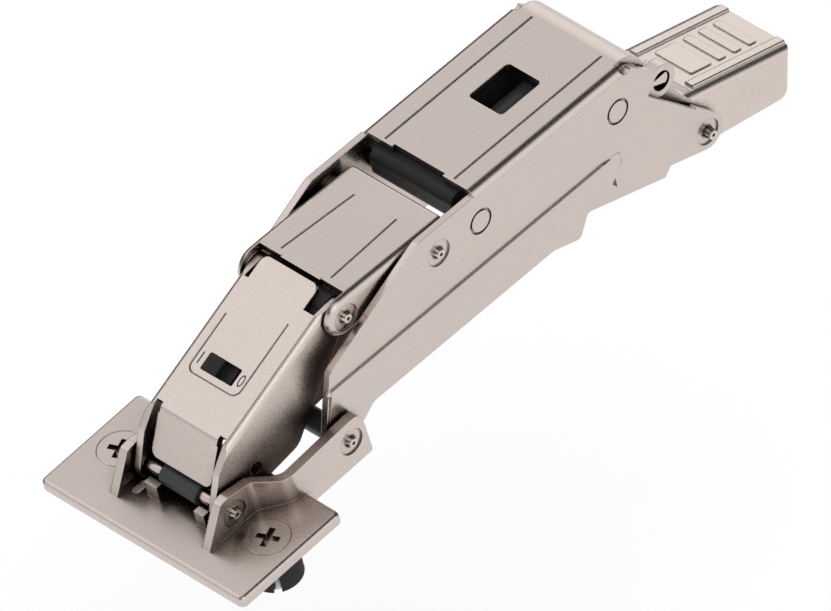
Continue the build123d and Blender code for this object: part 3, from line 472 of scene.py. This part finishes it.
def placed(points, pivot, tilt):
    """Points (x, y, z) in millimetres of a link's frame, as metres of the row frame.

    X = Xp + x cos t - z sin t,  Y = y,  Z = Zp + x sin t + z cos t
    """
    turn = radians(tilt)
    x, y, z = np.moveaxis(np.asarray(points, float), -1, 0)
    return MM * np.stack([pivot[0] + x * cos(turn) - z * sin(turn), y,
                          pivot[1] + x * sin(turn) + z * cos(turn)], axis=-1)


def grid_faces(rows, count, closed=False):
    """Quads between neighbours of a grid whose rows are loops. Where closed, the last row joins the first."""
    row = np.arange(rows if closed else rows - 1)[:, None]
    column = np.arange(count)[None, :]
    after_row = (row + 1) % rows
    after = (column + 1) % count
    corners = [row * count + column, row * count + after, after_row * count + after,
               after_row * count + column]
    return np.stack(corners, axis=-1).reshape(-1, 4).tolist()


def capped(rows, count):
    """Faces of a solid carried through sections: the quads between them and a cap at each end."""
    first = list(range(count))[::-1]
    last = list(range((rows - 1) * count, rows * count))
    return [first, last] + grid_faces(rows, count)


def turned_over(faces):
    """The same faces seen from their other side."""
    return [face[::-1] for face in faces]


def at(loop, column, value):
    """Loop of points in a plane, with the plane's coordinate put in at the given column."""
    return np.insert(np.asarray(loop, float), column, value, axis=1)


def new_piece(name, points, faces, finish):
    """Mesh object from points in metres, at the origin."""
    mesh = bpy.data.meshes.new(name)
    mesh.from_pydata(np.reshape(points, (-1, 3)).tolist(), [], faces)
    piece = bpy.data.objects.new(name, mesh)
    bpy.context.scene.collection.objects.link(piece)
    piece.data.materials.append(finish)
    return piece


def zero_mark():
    """The 0 as a closed band between two ellipses: x = xm + a cos s,  y = ym + b sin s.

    The inner ellipse has the stroke's width taken off a, and a share of it off b.
    """
    turns = np.linspace(0, 2 * np.pi, ZERO_POINTS, endpoint=False)
    middle = WINDOW_ENDS[0] - MARK_GAP
    outer, inner = [
        np.stack([WINDOW_MIDDLE + (MARK_LENGTH / 2 - stroke) * np.cos(turns),
                  middle + (ZERO_WIDTH / 2 - stroke * ZERO_SIDE_SHARE) * np.sin(turns)], axis=1)
        for stroke in (0.0, MARK_STROKE)]
    low, high = FRONT_WEB_TOP - MARK_SUNK, FRONT_WEB_TOP + MARK_PROUD
    band = [at(outer, 2, high), at(inner, 2, high), at(inner, 2, low), at(outer, 2, low)]
    return np.concatenate(band), grid_faces(4, ZERO_POINTS, closed=True)


def one_mark():
    """The I as a flat bar: its outline, a rectangle, at two heights."""
    y = WINDOW_ENDS[1] + MARK_GAP
    corners = np.array([(-1, -1), (1, -1), (1, 1), (-1, 1)]) / 2
    outline = corners * (MARK_LENGTH, MARK_STROKE) + (WINDOW_MIDDLE, y)
    low, high = FRONT_WEB_TOP - MARK_SUNK, FRONT_WEB_TOP + MARK_PROUD
    return np.concatenate([at(outline, 2, low), at(outline, 2, high)]), capped(2, 4)


def switch_marks():
    """The marks I and 0 beside the switch, thin strokes on the front link's web."""
    zero, zero_faces = zero_mark()
    one, one_faces = one_mark()
    faces = zero_faces + [[len(zero) + corner for corner in face] for face in one_faces]
    points = placed(np.concatenate([zero, one]), FRONT_PIVOT, FRONT_TILT)
    marks = new_piece("switch_marks", points, faces, mark_finish)
    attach(marks, "front_link_body")


def wall_extension(side, name):
    """Rear part of one wall of the front link (side -1 near, 1 far).

    Its outline lies in the two planes  y = side c,  for c the wall's inner and outer face.
    """
    sections = [at(WALL_REAR, 1, side * y) for y in (WALL_INNER, WALL_OUTER)]
    faces = capped(2, len(WALL_REAR))
    if side > 0:
        faces = turned_over(faces)
    wall = new_piece(name, placed(sections, FRONT_PIVOT, FRONT_TILT), faces, front_nickel)
    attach(wall, "front_link_body")


def knee_collar():
    """Black moulded collar round the knee pin, a tube about the pivot that closes the gap below the web.

    Each rim point is  x = xk + r cos s,  z = zk + r sin s,  for r the outer radius or the bore.
    """
    turns = np.linspace(0, 2 * np.pi, COLLAR_POINTS, endpoint=False)
    circle = np.stack([np.cos(turns), np.sin(turns)], axis=1)
    rims = ((COLLAR_OUTER, -COLLAR_HALF), (COLLAR_OUTER, COLLAR_HALF), (COLLAR_BORE, COLLAR_HALF),
            (COLLAR_BORE, -COLLAR_HALF))
    sections = [at(KNEE_IN_FRONT + radius * circle, 1, y) for radius, y in rims]
    faces = turned_over(grid_faces(len(rims), COLLAR_POINTS, closed=True))
    collar = new_piece("knee_collar", placed(sections, FRONT_PIVOT, FRONT_TILT), faces, black_plastic)
    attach(collar, "front_link_body")


def pressed_ledge(side, name):
    """Ledge on one wall (side -1 near, 1 far) as sections along the outer link.

    At station x a section point (a, h) lies at  y = side (H + a d),  z = z0 + h k,  where the depth d and the
    height's share k fall to their end shares over the last stretch. The front end follows the wall's slant:
    there a point below the ledge's line lies  s h  further forward.
    """
    start, end = LEDGE_SPAN
    stations = np.array([start, (start + end) / 2, end - LEDGE_TAPER, end])[:, None]
    depths = LEDGE_PROUD * np.array([1, 1, 1, LEDGE_END_DEPTH])[:, None]
    shares = np.array([1, 1, 1, LEDGE_END_HEIGHT])[:, None]
    slants = LEDGE_FRONT_SLANT * np.array([1, 0, 0, 0])[:, None]
    out, height = np.array(LEDGE_SECTION).T
    points = np.stack([stations + slants * np.minimum(0.0, height), side * (OUTER_HALF + out * depths),
                       LEDGE_HEIGHT + height * shares], axis=-1)
    faces = capped(len(stations), len(LEDGE_SECTION))
    if side > 0:
        faces = turned_over(faces)
    ledge = new_piece(name, placed(points, REAR_PIVOT, OUTER_TILT), faces, nickel)
    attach(ledge, "outer_link_body")


def arrow_mark():
    """The small dark arrow on the outer link's near wall: its outline, three corners, at two depths."""
    sections = [at(ARROW, 1, y) for y in (-OUTER_HALF - ARROW_PROUD, -OUTER_HALF + ARROW_SUNK)]
    points = placed(sections, REAR_PIVOT, OUTER_TILT)
    arrow = new_piece("arrow_mark", points, capped(2, len(ARROW)), mark_finish)
    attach(arrow, "outer_link_body")


# Stage

def stage_floor():
    """Plain pale floor below the lowest point of the hinge, with its far edge just past the far side."""
    far = cad_high[1] + FLOOR_FAR
    low = cad_low[2] - FLOOR_DROP
    material, tree, shader = new_material("pale_floor")
    shader.inputs["Base Color"].default_value = rgba(FLOOR_COLOUR)
    shader.inputs["Roughness"].default_value = FLOOR_ROUGHNESS
    shader.inputs["Specular IOR Level"].default_value = FLOOR_SPECULAR
    corners = [(-FLOOR_HALF, -FLOOR_HALF, low), (FLOOR_HALF, -FLOOR_HALF, low), (FLOOR_HALF, far, low),
               (-FLOOR_HALF, far, low)]
    floor = new_piece("floor", corners, [(0, 1, 2, 3)], material)


def less(tree, light, mask):
    """Light less the share that a mask takes."""
    return maths(tree, "MULTIPLY", light, maths(tree, "SUBTRACT", 1.0, mask))


def glow(tree, direction, towards, start, full, amount):
    """Glow round one direction: 0 at cosine start and the given amount at cosine full."""
    return smooth(tree, along(tree, direction, towards), start, full, 0.0, amount)


def mirrored_light(tree, direction):
    """Light that metal mirrors: white walls, a dark strip of ceiling, a dark far wall and the glows."""
    _, along_y, along_z = split(tree, direction)
    strip = maths(tree, "MULTIPLY", smooth(tree, along_y, *CEILING_NEAR, 0.0, 1.0),
                  smooth(tree, along_y, *CEILING_FAR, 1.0, 0.0))
    ceiling = maths(tree, "MULTIPLY", smooth(tree, along_z, *CEILING_FOOT, 0.0, 1.0), strip)
    far_wall = maths(tree, "MULTIPLY", smooth(tree, along_y, *FAR_WALL, 0.0, FAR_WALL_DARKNESS),
                     smooth(tree, along_z, *FAR_WALL_TOP, 0.0, 1.0))
    far_wall = maths(tree, "MULTIPLY", far_wall, smooth(tree, along_z, *FAR_WALL_FOOT, 0.0, 1.0))
    near_wall = maths(tree, "MULTIPLY", smooth(tree, along_y, *NEAR_WALL, 0.0, NEAR_WALL_GLOW),
                      smooth(tree, along_z, *NEAR_WALL_FOOT, 0.0, 1.0))
    light = maths(tree, "ADD", STUDIO, glow(tree, direction, *ARM_GLOW))
    light = maths(tree, "ADD", light, glow(tree, direction, *FRONT_GLOW))
    light = maths(tree, "ADD", light, near_wall)
    light = less(tree, light, maths(tree, "MULTIPLY", ceiling, CEILING_DARKNESS))
    return less(tree, light, far_wall)


def world_light():
    """White for the camera, an even light for matt surfaces, and the soft studio for what metal mirrors."""
    world = bpy.data.worlds.new("surroundings")
    bpy.context.scene.world = world
    world.use_nodes = True
    tree = world.node_tree
    back = tree.nodes["Background"]
    path = tree.nodes.new("ShaderNodeLightPath")
    light = mirrored_light(tree, tree.nodes.new("ShaderNodeTexCoord").outputs["Generated"])
    mirrored = tree.nodes.new("ShaderNodeCombineColor")
    for channel in ("Red", "Green", "Blue"):
        tree.links.new(light, mirrored.inputs[channel])
    lit = mix_colour(tree, path.outputs["Is Glossy Ray"], (FLOOR_LIGHT,) * 3, mirrored.outputs["Color"])
    seen = maths(tree, "MAXIMUM", path.outputs["Is Camera Ray"], path.outputs["Is Transmission Ray"])
    tree.links.new(mix_colour(tree, seen, lit, WHITE), back.inputs["Color"])


def key_lamp():
    """Square soft lamp above the near side, aimed at the hinge."""
    light = bpy.data.lights.new("key", "AREA")
    light.size = KEY_SIZE
    light.energy = KEY_POWER
    lamp = bpy.data.objects.new("key", light)
    bpy.context.scene.collection.objects.link(lamp)
    lamp.location = KEY_PLACE
    lamp.rotation_euler = (Vector(KEY_TARGET) - Vector(KEY_PLACE)).to_track_quat("-Z", "Y").to_euler()


def camera():
    """Long-lens camera at the photograph's viewing angle."""
    azimuth = radians(VIEW_AZIMUTH)
    elevation = radians(VIEW_ELEVATION)
    back = Vector((sin(azimuth) * cos(elevation), -cos(azimuth) * cos(elevation), sin(elevation)))
    data = bpy.data.cameras.new("camera")
    data.lens = LENS
    data.sensor_width = SENSOR
    data.clip_start = CLIP_NEAR
    data.clip_end = CLIP_FAR
    view = bpy.data.objects.new("camera", data)
    bpy.context.scene.collection.objects.link(view)
    view.location = (Vector(VIEW_TARGET) + back * VIEW_DISTANCE) * MM
    view.rotation_mode = "QUATERNION"
    view.rotation_quaternion = (-back).to_track_quat("-Z", "Y")
    bpy.context.scene.camera = view


bpy.context.scene.view_settings.view_transform = "Standard"
dress_nodes()
switch_marks()
arrow_mark()
knee_collar()
wall_extension(-1, "front_wall_near")
wall_extension(1, "front_wall_far")
pressed_ledge(-1, "ledge_near")
pressed_ledge(1, "ledge_far")
stage_floor()
world_light()
key_lamp()
camera()
